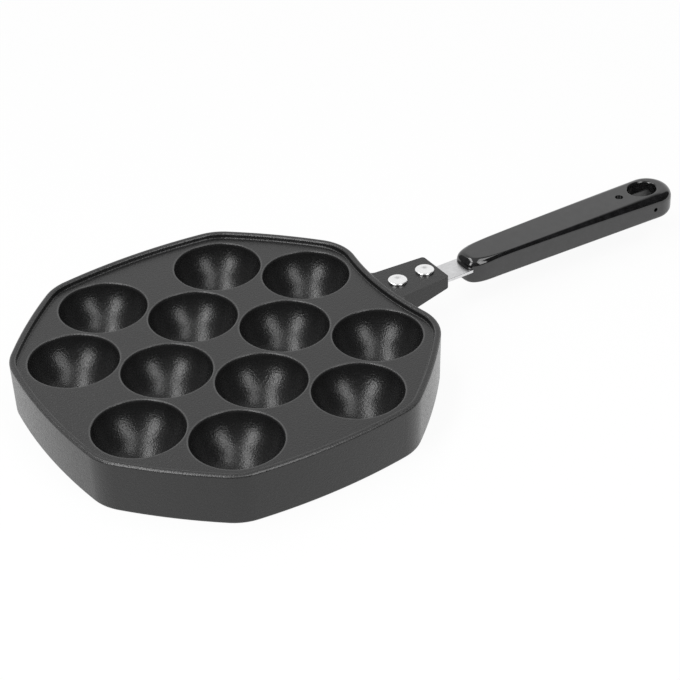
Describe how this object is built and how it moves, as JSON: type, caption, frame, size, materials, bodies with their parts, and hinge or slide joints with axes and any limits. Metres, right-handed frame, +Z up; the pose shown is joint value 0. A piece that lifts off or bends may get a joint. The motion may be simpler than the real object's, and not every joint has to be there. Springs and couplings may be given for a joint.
{
  "type": "takoyaki pan",
  "caption": "Octagonal cast griddle pan with round wells for small batter balls, a riveted flat bar and a moulded grip with a hang hole.",
  "frame": {"origin": "middle of the cooking plate's top face, between the four innermost wells", "axes": "+Z up out of the wells, +X along the handle towards the hang hole, +Y to the left of the handle seen from above with the handle pointing away"},
  "size_m": [0.3772, 0.198, 0.0276],
  "materials": {
    "coated_casting": "cast aluminium under a dark, fine-grained satin non-stick coating",
    "bar_steel": "bright rolled flat bar",
    "rivet_metal": "bright formed heads",
    "grip_moulding": "glossy black heat-resistant moulding"
  },
  "bodies": {
    "root": {"pan_body": "coated_casting", "handle_bar": "bar_steel", "inner_rivet": "rivet_metal", "outer_rivet": "rivet_metal", "grip": "grip_moulding"}
  },
  "joints": []
}
